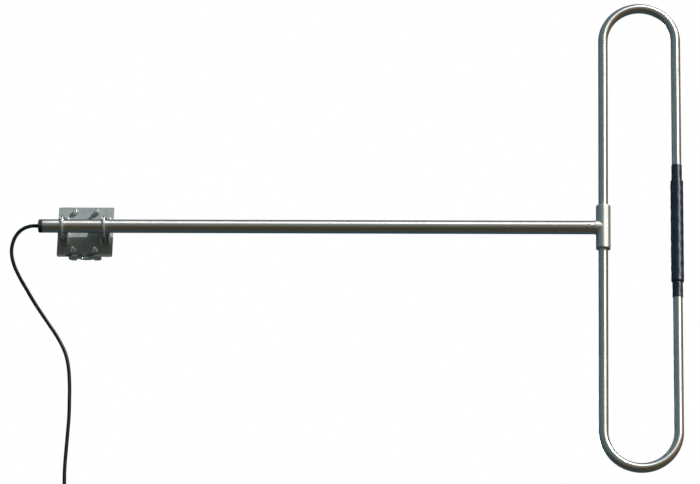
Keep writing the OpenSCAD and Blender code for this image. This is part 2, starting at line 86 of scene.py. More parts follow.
sun_colour = (1.0, 0.955, 0.89)
gleam_colour = (1.0, 0.985, 0.95)
sky_colour = (0.93, 0.97, 1.0)
floor_colour = (0.86, 0.86, 0.85)
floor_z = -8.0
floor_half = 150.0


def put(tree, socket, value):
    """Gives a socket a number, a colour or the other socket that feeds it."""
    if isinstance(value, bpy.types.NodeSocket):
        tree.links.new(value, socket)
    elif socket.type == "RGBA" and len(value) == 3:
        socket.default_value = (*value, 1)
    else:
        socket.default_value = value


def join(tree, kind, settings=None, **inputs):
    """Adds one node of that kind, with its settings and what its inputs take."""
    made = tree.nodes.new(kind)
    for name, value in (settings or {}).items():
        setattr(made, name, value)
    for name, value in inputs.items():
        put(tree, made.inputs[name.replace("_", " ")], value)
    return made


def ramp(tree, fac, stops):
    """Colour ramp of (position, colour) stops, a colour being one grey or three numbers."""
    made = join(tree, "ShaderNodeValToRGB", Fac=fac)
    for place, _ in stops[2:]:
        made.color_ramp.elements.new(place)
    for element, (place, colour) in zip(made.color_ramp.elements, stops):
        element.position = place
        element.color = (*np.broadcast_to(colour, 3), 1)
    return made.outputs["Color"]


def mixed(tree, share, first, second, blend="MIX"):
    """Colour that goes from the first to the second by share, or the two blended in another way."""
    made = join(tree, "ShaderNodeMix", {"data_type": "RGBA", "blend_type": blend})
    factor, colour_a, colour_b = made.inputs[0], made.inputs[6], made.inputs[7]
    put(tree, factor, share)
    put(tree, colour_a, first)
    put(tree, colour_b, second)
    return made.outputs[2]


world = bpy.data.worlds.new("studio")
bpy.context.scene.world = world
world.use_nodes = True
sky = world.node_tree
sky.nodes.clear()
direction = join(sky, "ShaderNodeSeparateXYZ", Vector=join(sky, "ShaderNodeTexCoord").outputs["Generated"])
rightward, backward, height = (
    join(sky, "ShaderNodeMapRange", Value=direction.outputs[axis],
         From_Min=-1.0, From_Max=1.0).outputs["Result"]
    for axis in "XYZ"
)
in_front = ramp(sky, height, [
    (0.0, (0.085, 0.080, 0.055)),
    (0.25, (0.065, 0.060, 0.042)),
    (0.37, (0.140, 0.130, 0.095)),
    (0.50, (0.200, 0.195, 0.170)),
    (0.70, (0.250, 0.275, 0.265)),
    (0.86, (0.290, 0.350, 0.375)),
    (1.0, (0.110, 0.190, 0.240)),
])
side_tint = ramp(sky, rightward, [(0.0, (0.42, 0.85, 1.15)), (0.5, 1.0), (1.0, (1.6, 1.15, 0.75))])
tinted = mixed(sky, 1.0, in_front, side_tint, "MULTIPLY")
surroundings = mixed(sky, ramp(sky, backward, [(0.5, 0.0), (0.8, 1.0)]), tinted, (0.045, 0.095, 0.135))
reflected = join(sky, "ShaderNodeBackground", Color=surroundings, Strength=1.0).outputs["Background"]
backdrop = join(sky, "ShaderNodeBackground", Color=(1, 1, 1, 1), Strength=1.0).outputs["Background"]
seen = join(sky, "ShaderNodeLightPath").outputs["Is Camera Ray"]
either = join(sky, "ShaderNodeMixShader", Fac=seen)
sky.links.new(reflected, either.inputs[1])
sky.links.new(backdrop, either.inputs[2])
join(sky, "ShaderNodeOutputWorld", Surface=either.outputs["Shader"])


def add_light(name, azimuth, light_height, energy, spread, colour, gives):
    """Far light from an azimuth, to the right of the front, and a height, with a disc as wide as its
    spread, all in degrees. It gives either shade or gloss."""
    light = bpy.data.objects.new(name, bpy.data.lights.new(name, "SUN"))
    light.data.energy = energy
    light.data.angle = np.radians(spread)
    light.data.color = colour
    a, h = np.radians((azimuth, light_height))
    light.rotation_mode = "QUATERNION"
    light.rotation_quaternion = Vector(
        (np.sin(a) * np.cos(h), -np.cos(a) * np.cos(h), np.sin(h))
    ).to_track_quat("Z", "Y")
    light.visible_diffuse = gives == "shade"
    light.visible_glossy = gives == "gloss"
    bpy.context.scene.collection.objects.link(light)


# The light behind stands nearly opposite the camera, so that its gloss falls on the far side.
for light in (
    ("key", 47, 32.5, 4.4, 1.5, sun_colour, "shade"),
    ("gleam_left", 46, 49, 2.5, 3.0, gleam_colour, "gloss"),
    ("gleam_right", 64, 49, 2.5, 3.0, gleam_colour, "gloss"),
    ("behind", 196, 12, 0.8, 1.0, sky_colour, "gloss"),
    ("fill", 205, 35, 1.3, 20.0, sky_colour, "shade"),
):
    add_light(*light)

bpy.context.scene.view_settings.view_transform = "Standard"

floor_mesh = bpy.data.meshes.new("floor")
floor_mesh.from_pydata(
    [(x * floor_half, y * floor_half, floor_z) for x, y in ((-1, -1), (1, -1), (1, 1), (-1, 1))],
    [], [(0, 1, 2, 3)],
)
floor = bpy.data.objects.new("floor", floor_mesh)
bpy.context.scene.collection.objects.link(floor)
pale = bpy.data.materials.new("pale_floor")
pale.use_nodes = True
pale.node_tree.nodes["Principled BSDF"].inputs["Base Color"].default_value = (*floor_colour, 1)
pale.node_tree.nodes["Principled BSDF"].inputs["Roughness"].default_value = 0.9
floor_mesh.materials.append(pale)
floor.visible_glossy = False
floor.visible_diffuse = False


# Coaxial cable. A stiff cable with a black jacket leaves the boom's plug, bends down to the mast, runs
# along it and ends in a stored coil. Its inner parts are a copper wire, foam, a braid and the jacket.

cable_d = 0.0103
cable_sides = 20
jacket_black = (0.002, 0.008, 0.011)
scuffed_black = (0.012, 0.026, 0.030)
route = np.array([
    [-127, -80, 0], [-145, -80, 0], [-163, -80, -5], [-178, -80, -15], [-190, -80, -31],
    [-197, -79, -50], [-200, -77, -72], [-197, -75, -95], [-190, -71, -117], [-180, -66, -138],
    [-168, -60, -159], [-154, -52, -181], [-139, -44, -205], [-122, -36, -230], [-104, -29, -255],
    [-86, -24, -280], [-69, -20, -304], [-54, -18, -329], [-42, -17, -354], [-34, -17, -380],
    [-29, -17, -407], [-26, -17, -435], [-24, -17, -464], [-23, -17, -494], [-22, -17, -524],
    [-22, -17, -554], [-23, -17, -584], [-24, -17, -614], [-25, -17, -644], [-26, -17, -674],
    [-26, -17, -704], [-25, -17, -734], [-25, -17, -764], [-25, -17, -790], [-25, -17, -812],
]) / 1000

coil_drop = 0.023       # the route's end above the coil's middle
coil_d = 0.116
coil_turns = 3
turn_steps = 48
tail_l = 0.070          # the coil's middle to the connector
route_end = route[-1]
coil_middle = route_end - [coil_d / 2 + cable_d / 2, -cable_d / 2, coil_drop]


def smooth(points, steps):
    """Curve through the points, as Catmull and Rom's cubic: between p1 and p2, at share t,
    p = (2 p1 + (p2 - p0) t + (2 p0 - 5 p1 + 4 p2 - p3) t^2 + (3 p1 - p0 - 3 p2 + p3) t^3) / 2."""
    padded = np.vstack([2 * points[0] - points[1], points, 2 * points[-1] - points[-2]])
    p0, p1, p2, p3 = (padded[k:len(padded) - 3 + k, None] for k in range(4))
    t = np.linspace(0, 1, steps, endpoint=False)[None, :, None]
    curve = (2 * p1 + (p2 - p0) * t + (2 * p0 - 5 * p1 + 4 * p2 - p3) * t**2
             + (3 * p1 - p0 - 3 * p2 + p3) * t**3) / 2
    return np.vstack([curve.reshape(-1, 3), points[-1:]])


def ease(share, start, end):
    """0 before start and 1 after end, turning smoothly between: 3 t^2 - 2 t^3."""
    t = np.clip((share - start) / (end - start), 0, 1)
    return t * t * (3 - 2 * t)


def coil_path(steps):
    """The coil's turns: the cable lies outside at the front, then inside at the front, inside at the
    back and outside at the back. In each turn it shifts by one diameter, at a place where the next
    turn has already moved away: x = R cos a, z = -R sin a, with R and y eased by the turn's share."""
    turns = np.linspace(0, coil_turns, coil_turns * steps + 1)[1:]
    turn = np.minimum(np.floor(turns), coil_turns - 1)
    share = turns - turn
    inward = (ease(share, 0.68, 0.98) * (turn == 0) + (turn == 1)
              + (1 - ease(share, 0.02, 0.32)) * (turn == 2))
    backward = ease(share, 0.35, 0.65) * (turn == 1) + (turn == 2)
    angle = 2 * np.pi * turns
    reach = (coil_d + cable_d) / 2 - cable_d * inward
    return coil_middle + np.column_stack([
        reach * np.cos(angle), cable_d * (backward - 0.5), -reach * np.sin(angle),
    ])


def rings_along(path, radius, sides, across=(0, 1, 0)):
    """Rings round a path: p + r (u cos t + v sin t), with u and v square to the path's direction."""
    path = np.asarray(path, float)
    ahead = np.gradient(path, axis=0)
    ahead /= np.linalg.norm(ahead, axis=1, keepdims=True)
    u = np.cross(ahead, across)
    u /= np.linalg.norm(u, axis=1, keepdims=True)
    v = np.cross(ahead, u)
    t = np.linspace(0, 2 * np.pi, sides, endpoint=False)[None, :, None]
    radius = np.broadcast_to(radius, (len(path), sides))[:, :, None]
    return path[:, None] + radius * (np.cos(t) * u[:, None] + np.sin(t) * v[:, None])


def skin(name, grids, looped=False, sharp=40):
    """Closed mesh through one or more grids of points, one ring a row. A looped grid joins its last ring
    to its first, and any other has its two ends filled. The UV map holds metres: u along, v round."""
    points, faces, uvs, first = [], [], [], 0
    for rings in grids if isinstance(grids, list) else [grids]:
        count, sides = rings.shape[:2]
        closed = np.concatenate([rings, rings[:1]]) if looped else rings
        closed = np.concatenate([closed, closed[:, :1]], axis=1)
        u = np.concatenate([[0], np.cumsum(np.linalg.norm(np.diff(closed[:, 0], axis=0), axis=1))])
        v = np.concatenate([[0], np.cumsum(np.linalg.norm(np.diff(closed, axis=1), axis=2).max(axis=0))])
        i, j = (x.ravel() for x in np.indices((len(u) - 1, sides)))
        corners = [(i, j), (i, j + 1), (i + 1, j + 1), (i + 1, j)]
        faces += (first + np.column_stack([a % count * sides + b % sides for a, b in corners])).tolist()
        uvs.append(np.stack([np.column_stack([u[a], v[b]]) for a, b in corners], axis=1).reshape(-1, 2))
        if not looped:
            faces += [list(range(first + k * sides, first + (k + 1) * sides)) for k in (0, count - 1)]
            uvs.append(np.zeros((2 * sides, 2)))
        points.append(rings.reshape(-1, 3))
        first += count * sides
    mesh = bpy.data.meshes.new(name)
    mesh.from_pydata(np.vstack(points).tolist(), [], faces)
    mesh.uv_layers.new(name="surface").data.foreach_set("uv", np.vstack(uvs).astype(np.float32).ravel())
    return finished(name, mesh, sharp)


def finished(name, mesh, sharp=40, merge=1e-6):
    """Merges what coincides, turns every face outwards, smooths up to that angle and adds the object."""
    shell = bmesh.new()
    shell.from_mesh(mesh)
    bmesh.ops.remove_doubles(shell, verts=shell.verts, dist=merge)
    bmesh.ops.recalc_face_normals(shell, faces=shell.faces)
    shell.to_mesh(mesh)
    shell.free()
    mesh.polygons.foreach_set("use_smooth", np.ones(len(mesh.polygons), bool))
    mesh.set_sharp_from_angle(angle=np.radians(sharp))
    piece = bpy.data.objects.new(name, mesh)
    bpy.context.scene.collection.objects.link(piece)
    return piece


def dress(piece, material, slot, *nodes):
    """Gives a piece its material and the CAD nodes that it stands for, which it hides. The slot is not
    used.
    """
    piece.data.materials.clear()
    piece.data.materials.append(material)
    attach(piece, "root")
    if nodes:
        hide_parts(*nodes)


def coat_node(node, material):
    """Gives a CAD node its material."""
    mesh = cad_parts[node].data
    mesh.materials.clear()
    mesh.materials.append(material)


def new_group(name, inputs, outputs):
    """Shader node group with number inputs {name: default} and number outputs [name]."""
    group = bpy.data.node_groups.new(name, "ShaderNodeTree")
    for label, default in inputs.items():
        socket = group.interface.new_socket(label, in_out="INPUT", socket_type="NodeSocketFloat")
        socket.default_value = default
    for label in outputs:
        group.interface.new_socket(label, in_out="OUTPUT", socket_type="NodeSocketFloat")
    return group, join(group, "NodeGroupInput").outputs, join(group, "NodeGroupOutput").inputs


def maths(tree, operation, *values):
    """Adds one sum, product or the like of numbers or sockets."""
    made = join(tree, "ShaderNodeMath", {"operation": operation})
    for socket, value in zip(made.inputs, values):
        put(tree, socket, value)
    return made.outputs[0]


def facing(tree):
    """The direction that the surface faces, as X, Y and Z."""
    normal = join(tree, "ShaderNodeNewGeometry").outputs["Normal"]
    return join(tree, "ShaderNodeSeparateXYZ", Vector=normal).outputs


def streaks(tree, place, scale, detail):
    """Noise with a scale of its own along each axis."""
    stretched = join(tree, "ShaderNodeMapping", Vector=place, Scale=scale).outputs["Vector"]
    return join(tree, "ShaderNodeTexNoise", Vector=stretched, Scale=1.0, Detail=detail).outputs["Fac"]


def bump(tree, relief, strength, depth):
    """Normal of a surface that rises and falls with a relief, by a depth in metres."""
    return join(tree, "ShaderNodeBump", Height=relief, Strength=strength, Distance=depth).outputs["Normal"]


def make_dust():
    """Dust and dried rain: soft blotches broken by a finer noise, more of them on faces that look up."""
    group, given, out = new_group("dust", {"Spot size": 0.03, "Cover": 0.5, "Upward": 0.5}, ["Mask"])
    place = join(group, "ShaderNodeTexCoord").outputs["Object"]
    spots_a_metre = maths(group, "DIVIDE", 1.0, given["Spot size"])
    blotch = join(group, "ShaderNodeTexNoise", Vector=place, Scale=spots_a_metre, Detail=6.0,
                  Roughness=0.65).outputs["Fac"]
    upward = maths(group, "MULTIPLY", facing(group)["Z"], given["Upward"])
    raised = maths(group, "MULTIPLY_ADD", upward, 0.25, blotch)
    soft = join(group, "ShaderNodeMapRange", {"interpolation_type": "SMOOTHSTEP"}, Value=raised,
                From_Min=0.42, From_Max=0.78).outputs["Result"]
    group.links.new(maths(group, "MULTIPLY", soft, given["Cover"]), out["Mask"])
    return group


dust = make_dust()


def use(tree, group, **inputs):
    """Places a node group and feeds its inputs."""
    return join(tree, "ShaderNodeGroup", {"node_tree": group}, **inputs).outputs


def new_material(name):
    """Empty material and its Principled shader."""
    made = bpy.data.materials.new(name)
    made.use_nodes = True
    return made, made.node_tree, made.node_tree.nodes["Principled BSDF"]


def feed(tree, shader, **inputs):
    """Feeds the shader's sockets with numbers, colours or other nodes' sockets."""
    for name, value in inputs.items():
        put(tree, shader.inputs[name.replace("_", " ")], value)


def make_jacket():
    """Extruded black jacket: faint lines along the cable, scuffs, and dust where it looks up."""
    made, tree, shader = new_material("cable_jacket")
    surface = join(tree, "ShaderNodeUVMap", {"uv_map": "surface"}).outputs["UV"]
    lines = streaks(tree, surface, (30, 900, 1), 3.0)
    scuffs = use(tree, dust, Spot_size=0.02, Cover=0.55, Upward=0.6)["Mask"]
    feed(tree, shader, Base_Color=mixed(tree, scuffs, jacket_black, scuffed_black),
         Roughness=ramp(tree, lines, [(0.3, 0.34), (0.7, 0.50)]),
         Specular_IOR_Level=0.25, Normal=bump(tree, lines, 0.12, 0.0003))
    return made


cable_jacket = make_jacket()
coil = coil_path(turn_steps)
tail = coil[-1] - np.outer(np.linspace(0, tail_l, 13)[1:], [0, 0, 1])
entry = np.linspace(route_end, route_end - [0, 0, coil_drop], 6)[1:]
cable_path = np.vstack([smooth(route, 6), entry, coil, tail])
cable = skin("coaxial_cable", rings_along(cable_path, cable_d / 2, cable_sides))
dress(cable, cable_jacket, "cable_jacket", "coax_cable", "cable_coil", "cable_tail")


# Tie of the stored coil. A woven strap with a hook and loop face goes once round the strands and lies
# back on itself.

strap_t = 0.0016
strap_w = 0.012
strap_corner = 0.006
corner_steps = 9
lap_stations = slice(6, 30)     # the part of the round that the strap's end lies on
strap_black = (0.018, 0.018, 0.020)
gap_black = (0.008, 0.008, 0.009)


def box_of(node):
    """The low and the high corner of a CAD node's box."""
    return tuple(np.array(corner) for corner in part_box(node))


def strap_ring(half, corner, steps):
    """Closed path round a square of that half width in the XY plane, with round corners:
    four quarter arcs of radius corner about the points (+-(half - corner), +-(half - corner))."""
    quarter = np.linspace(0, np.pi / 2, steps)
    start = np.arange(4)[:, None] * np.pi / 2
    angle = (start + quarter).ravel()
    centre = np.repeat(start + np.pi / 4, steps, axis=1).ravel()
    reach = (half - corner) * np.sqrt(2)
    return np.column_stack([
        reach * np.cos(centre) + corner * np.cos(angle), reach * np.sin(centre) + corner * np.sin(angle),
    ])


def strap_band(name, outline, outward, middle, looped):
    """Band of the strap's width and thickness, carried along an outline in the XY plane. Its section is
    a flat oblong with its four edges cut, and outward is the outline's own square direction."""
    half_t, half_w, cut = strap_t / 2, strap_w / 2, strap_t / 4
    section = np.array([
        [-half_t, -half_w + cut], [-half_t + cut, -half_w],
        [half_t - cut, -half_w], [half_t, -half_w + cut],
        [half_t, half_w - cut], [half_t - cut, half_w], [-half_t + cut, half_w], [-half_t, half_w - cut],
    ])
    rings = np.empty((len(outline), len(section), 3))
    rings[:, :, :2] = outline[:, None] + outward[:, None] * section[None, :, :1]
    rings[:, :, 2] = section[:, 1]
    return skin(name, rings + middle, looped)


def outward_of(outline, looped):
    """Unit vectors square to a plane outline, on its outer side."""
    if looped:
        along = np.roll(outline, -1, axis=0) - np.roll(outline, 1, axis=0)
    else:
        along = np.gradient(outline, axis=0)
    along /= np.linalg.norm(along, axis=1, keepdims=True)
    return np.column_stack([along[:, 1], -along[:, 0]])


def make_strap():
    """Woven black webbing: two crossed waves stand for warp and weft."""
    made, tree, shader = new_material("black_strap")
    surface = join(tree, "ShaderNodeUVMap", {"uv_map": "surface"}).outputs["UV"]
    warp = join(tree, "ShaderNodeTexWave", {"bands_direction": "X"}, Vector=surface, Scale=500.0,
                Distortion=0.3).outputs["Fac"]
    weft = join(tree, "ShaderNodeTexWave", {"bands_direction": "Y"}, Vector=surface, Scale=350.0,
                Distortion=0.3).outputs["Fac"]
    weave = maths(tree, "MAXIMUM", warp, weft)
    feed(tree, shader, Base_Color=mixed(tree, weave, gap_black, strap_black), Roughness=0.85,
         Sheen_Weight=0.25, Normal=bump(tree, weave, 0.6, 0.0003))
    return made


black_strap = make_strap()
tie_low, tie_high = box_of("coil_tie")
tie_middle = (tie_low + tie_high) / 2
tie_half = (tie_high - tie_low)[0] / 2 - strap_t / 2
strap_line = strap_ring(tie_half, strap_corner, corner_steps)
strap = strap_band("coil_strap", strap_line, outward_of(strap_line, True), tie_middle, True)
dress(strap, black_strap, "black_strap", "coil_tie")
strap_end = strap_ring(tie_half + strap_t, strap_corner + strap_t, corner_steps)[lap_stations]
strap_lap = strap_band("coil_strap_end", strap_end, outward_of(strap_end, False), tie_middle, False)
dress(strap_lap, black_strap, "black_strap")


# Connector. A nickel plated screw plug for the cable: clamp nut, body, knurled coupling nut, white
# insert and a gold coloured pin.

nickel = (0.66, 0.64, 0.58)


def make_plated():
    """Bright nickel: fine turning marks round the plug's axis and a little haze from handling."""
    made, tree, shader = new_material("nickel_plate")
    place = join(tree, "ShaderNodeTexCoord").outputs["Object"]
    marks = streaks(tree, place, (60, 60, 4000), 3.0)
    haze = use(tree, dust, Spot_size=0.006, Cover=0.6, Upward=0.2)["Mask"]
    feed(tree, shader, Metallic=1.0, Base_Color=mixed(tree, haze, nickel, (0.42, 0.40, 0.36)),
         Roughness=ramp(tree, haze, [(0.0, 0.16), (1.0, 0.38)]),
         Normal=bump(tree, marks, 0.15, 0.0001))
    return made


def make_insulator():
    """White plastic with a soft mottling."""
    made, tree, shader = new_material("white_insulator")
    place = join(tree, "ShaderNodeTexCoord").outputs["Object"]
    mottling = join(tree, "ShaderNodeTexNoise", Vector=place, Scale=300.0, Detail=4.0).outputs["Fac"]
    feed(tree, shader, Base_Color=mixed(tree, mottling, (0.74, 0.73, 0.69), (0.84, 0.83, 0.80)),
         Roughness=ramp(tree, mottling, [(0.3, 0.38), (0.7, 0.55)]))
    return made


def make_brass():
    """Turned brass with darker spots."""
    made, tree, shader = new_material("brass")
    spots = use(tree, dust, Spot_size=0.003, Cover=0.5, Upward=0.0)["Mask"]
    feed(tree, shader, Metallic=1.0, Base_Color=mixed(tree, spots, (0.80, 0.60, 0.28), (0.45, 0.31, 0.13)),
         Roughness=ramp(tree, spots, [(0.0, 0.22), (1.0, 0.45)]))
    return made


def softened(name, node, width, sharp=30):
    """Copy of a CAD node with its loose triangles merged and its sharp edges rounded by that width."""
    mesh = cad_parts[node].data.copy()
    mesh.name = name
    shell = bmesh.new()
    shell.from_mesh(mesh)
    bmesh.ops.remove_doubles(shell, verts=shell.verts, dist=2e-6)
    bmesh.ops.dissolve_limit(shell, angle_limit=np.radians(0.5), verts=shell.verts, edges=shell.edges)
    shell.to_mesh(mesh)
    shell.free()
    piece = finished(name, mesh, sharp, merge=1e-7)
    rounding = piece.modifiers.new("edges", "BEVEL")
    rounding.width = width
    rounding.segments = 2
    rounding.limit_method = "ANGLE"
    rounding.angle_limit = np.radians(sharp)
    rounding.harden_normals = False
    return piece


plug_axis = (0, 0, -1)
plug_edge = 0.0002
knurl_teeth = 40
knurl_depth = 0.00035
knurl_runout = 0.0008
back_band = 0.002       # plain outside, behind the knurl
front_band = 0.004
turning_bore = 0.0081   # where the nut turns on the body
turning_l = 0.0083
mouth_bore = 0.0076
mouth_pitch = 0.00106
mouth_depth = 0.00045
mouth_lead = 0.0004
nut_edge = 0.0006


def turned(radii, places, foot, axis, sides):
    """Rings of a turned body: foot + s axis + r (u cos t + v sin t), for each radius r at each place s.
    A radius or a place is one number, or one for each side."""
    axis = np.array(axis, float)
    u = np.cross(axis, [0, 1, 0] if abs(axis[1]) < 0.9 else [1, 0, 0])
    u /= np.linalg.norm(u)
    v = np.cross(axis, u)
    t = np.linspace(0, 2 * np.pi, sides, endpoint=False)[None, :, None]
    radii, places = (
        np.stack([np.broadcast_to(x, sides) for x in values])[:, :, None] for values in (radii, places)
    )
    return np.array(foot) + places * axis + radii * (np.cos(t) * u + np.sin(t) * v)


def coupling_nut(name, node):
    """Knurled nut whose mouth has a thread. Outside, between two plain bands,
    r = R - depth (1 - cos nt) / 2 for n teeth. Inside, past the turning bore,
    r = bore + depth tri(s / pitch - t / 2 pi)."""
    low, high = box_of(node)
    radius, length = (high - low)[0] / 2, (high - low)[2]
    sides = knurl_teeth * 6
    t = np.arange(sides) / sides
    groove = knurl_depth * (1 - np.cos(2 * np.pi * knurl_teeth * t)) / 2
    grip = np.linspace(back_band, length - front_band, 9)
    fade = np.clip(np.minimum(grip - back_band, length - front_band - grip) / knurl_runout, 0, 1)
    threads = np.arange(length - mouth_lead, turning_l, -mouth_pitch / 6)
    phase = threads[:, None] / mouth_pitch - t
    outside_r = np.concatenate([
        np.tile([[turning_bore], [radius - nut_edge], [radius]], (1, sides)),
        radius - fade[:, None] * groove,
        np.tile([[radius], [radius - nut_edge], [mouth_bore + mouth_depth]], (1, sides)),
        mouth_bore + mouth_depth * 2 * np.abs(phase - np.round(phase)),
        np.tile([[turning_bore]], (1, sides)),
    ])
    outside_s = np.concatenate([
        [0, 0, nut_edge], grip, [length - nut_edge, length, length], threads, [turning_l],
    ])
    middle = (low + high) / 2
    return skin(name, turned(outside_r, outside_s, (*middle[:2], high[2]), plug_axis, sides), looped=True,
                sharp=35)


nickel_plate = make_plated()
white_insulator = make_insulator()
brass = make_brass()
plug_pieces = []
for name, node in (("plug_clamp_nut", "connector_clamp_nut"), ("plug_body", "connector_body")):
    plug_pieces.append(softened(name, node, plug_edge))
    dress(plug_pieces[-1], nickel_plate, "nickel_plate", node)
plug_pieces.append(coupling_nut("plug_coupling", "connector_coupling"))
dress(plug_pieces[-1], nickel_plate, "nickel_plate", "connector_coupling")
coat_node("connector_insert", white_insulator)
coat_node("connector_pin", brass)


# Boom. One straight stainless tube, ground bright between wheels, so that its finest lines run round it
# and a highlight spreads along it. Its two ends are cut square.

tube_wall = 0.002
tube_edge = 0.0005
boom_stations = 60
boom_sides = 72


def make_polish():
    """Ground finish of a tube: a noise on the surface's own UV map, far finer along the tube than round
    it, and a slower one that leaves soft bands."""
    group, given, out = new_group("ground_polish", {"Lines": 1500.0, "Bands": 12.0}, ["Lines", "Bands"])
    surface = join(group, "ShaderNodeUVMap", {"uv_map": "surface"}).outputs["UV"]
    for label, round_scale, detail in (("Lines", 14.0, 4.0), ("Bands", 25.0, 5.0)):
        stretch = join(group, "ShaderNodeCombineXYZ", Y=round_scale)
        group.links.new(given[label], stretch.inputs["X"])
        scaled = join(group, "ShaderNodeVectorMath", {"operation": "MULTIPLY"})
        group.links.new(surface, scaled.inputs[0])
        group.links.new(stretch.outputs["Vector"], scaled.inputs[1])
        noise = join(group, "ShaderNodeTexNoise", Vector=scaled.outputs["Vector"], Scale=1.0,
                     Detail=detail, Roughness=0.6)
        group.links.new(noise.outputs["Fac"], out[label])
    return group


ground_polish = make_polish()


def stretch_gloss(tree, shader, stretch):
    """Stretches a material's gloss by a share along U of the piece's surface coordinates."""
    tangent = join(tree, "ShaderNodeTangent", {"direction_type": "UV_MAP", "uv_map": "surface"})
    feed(tree, shader, Anisotropic=stretch, Tangent=tangent.outputs["Tangent"])


def make_tube(name, bright, dull, rough, stretch):
    """Ground stainless tube that has stood outdoors: fine lines round it, dull bands, dried rain and a
    warm film. Its gloss is stretched along the tube."""
    made, tree, shader = new_material(name)
    polish = use(tree, ground_polish, Lines=1500.0, Bands=7.0)
    film = use(tree, dust, Spot_size=0.05, Cover=0.5, Upward=0.5)["Mask"]
    spots = use(tree, dust, Spot_size=0.004, Cover=0.35, Upward=0.8)["Mask"]
    clean = mixed(tree, polish["Bands"], dull, bright)
    filmed = mixed(tree, film, clean, (0.50, 0.47, 0.42))
    lined = ramp(tree, polish["Lines"], [(0.3, rough - 0.03), (0.7, rough + 0.03)])
    dulled = ramp(tree, film, [(0.0, 0.0), (1.0, 0.12)])
    feed(tree, shader, Metallic=1.0, Base_Color=mixed(tree, spots, filmed, (0.46, 0.44, 0.40)),
         Roughness=maths(tree, "ADD", lined, dulled), Normal=bump(tree, polish["Lines"], 0.10, 0.0001))
    stretch_gloss(tree, shader, stretch)
    return made


def rim(radius, face, cut, steps=5):
    """Rounded outer edge of a turned body, from its end face to its wall, as radii and places:
    r = radius - |cut| (1 - sin a) and s = face + cut (1 - cos a), a from 0 to a quarter turn."""
    a = np.linspace(0, np.pi / 2, steps)
    return radius - abs(cut) * (1 - np.sin(a)), face + cut * (1 - np.cos(a))


def pipe_profile(bore, radius, start, end, cut, steps=2):
    """Radii and places of a pipe with rounded outer edges, from the bore at its start to the bore at its
    end, as a looped grid takes them."""
    first_r, first_s = rim(radius, start, cut)
    last_r, last_s = rim(radius, end, -cut)
    middle = np.linspace(start + cut, end - cut, steps + 1)[1:-1]
    return (np.concatenate([[bore], first_r, np.full(len(middle), radius), last_r[::-1], [bore]]),
            np.concatenate([[start], first_s, middle, last_s[::-1], [end]]))


stainless_tube = make_tube("stainless_tube", bright=(0.68, 0.665, 0.64), dull=(0.58, 0.565, 0.54),
                           rough=0.37, stretch=0.76)
boom_low, boom_high = box_of("boom_tube")
boom_r = (boom_high - boom_low)[1] / 2
boom_y = (boom_high + boom_low)[1] / 2
boom_l = (boom_high - boom_low)[0]
boom = skin("boom", turned(
    *pipe_profile(boom_r - tube_wall, boom_r, 0, boom_l, tube_edge, boom_stations),
    (boom_low[0], boom_y, 0), (1, 0, 0), boom_sides,
), looped=True)
dress(boom, stainless_tube, "stainless_tube", "boom_tube")


# End plug of the boom. Moulded black rubber, pushed into the tube, with a bore that grips the cable
# where it leaves the boom.

def make_rubber():
    """Moulded black rubber with a grey bloom."""
    made, tree, shader = new_material("black_rubber")
    place = join(tree, "ShaderNodeTexCoord").outputs["Object"]
    pores = join(tree, "ShaderNodeTexNoise", Vector=place, Scale=900.0, Detail=3.0).outputs["Fac"]
    bloom = use(tree, dust, Spot_size=0.008, Cover=0.5, Upward=0.5)["Mask"]
    feed(tree, shader, Base_Color=mixed(tree, bloom, (0.018, 0.018, 0.019), (0.075, 0.073, 0.070)),
         Roughness=ramp(tree, pores, [(0.3, 0.42), (0.7, 0.60)]),
         Normal=bump(tree, pores, 0.2, 0.0002))
    return made


black_rubber = make_rubber()
coat_node("boom_end_plug", black_rubber)


# Tee. One steel fitting, turned all over: a sleeve for the loop's two halves, a short branch that meets
# the boom, and a spigot inside the boom. The branch is as wide as the sleeve, so they meet in a V.

tee_edge = 0.0012
tee_slip = 0.0001       # clearance of the loop tube in the sleeve
branch_bore_r = 0.008
tee_stations = 24
tee_sides = 96

cast_steel = make_tube("cast_steel", bright=(0.76, 0.745, 0.71), dull=(0.64, 0.625, 0.59),
                       rough=0.50, stretch=0.50)
tee_low, tee_high = box_of("tee_fitting")
tee_r = (tee_high - tee_low)[1] / 2
tee_x = tee_high[0] - tee_r
tee_l = (tee_high - tee_low)[2]
loop_low, loop_high = box_of("upper_loop_tube")
loop_r = (loop_high - loop_low)[1] / 2
spigot_l = boom_high[0] - tee_low[0]
spigot_r, spigot_s = rim(boom_r - tube_wall - tee_slip, 0, tube_edge)
branch_r, branch_s = rim(tee_r, spigot_l, tee_edge)
branch_l = tee_x - tee_low[0]
tee = skin("tee", [
    turned(*pipe_profile(loop_r + tee_slip, tee_r, 0, tee_l, tee_edge, tee_stations),
           (tee_x, boom_y, tee_low[2]), (0, 0, 1), tee_sides),
    turned(np.concatenate([[branch_bore_r], spigot_r, spigot_r[-1:], branch_r, [tee_r, branch_bore_r]]),
           np.concatenate([[0], spigot_s, [spigot_l], branch_s, [branch_l, branch_l]]),
           (tee_low[0], boom_y, 0), (1, 0, 0), tee_sides),
], looped=True)
dress(tee, cast_steel, "cast_steel", "tee_fitting")


# Lock screw of the boom. A small socket screw with a button head, put through the boom's wall to hold
# the tee's spigot.

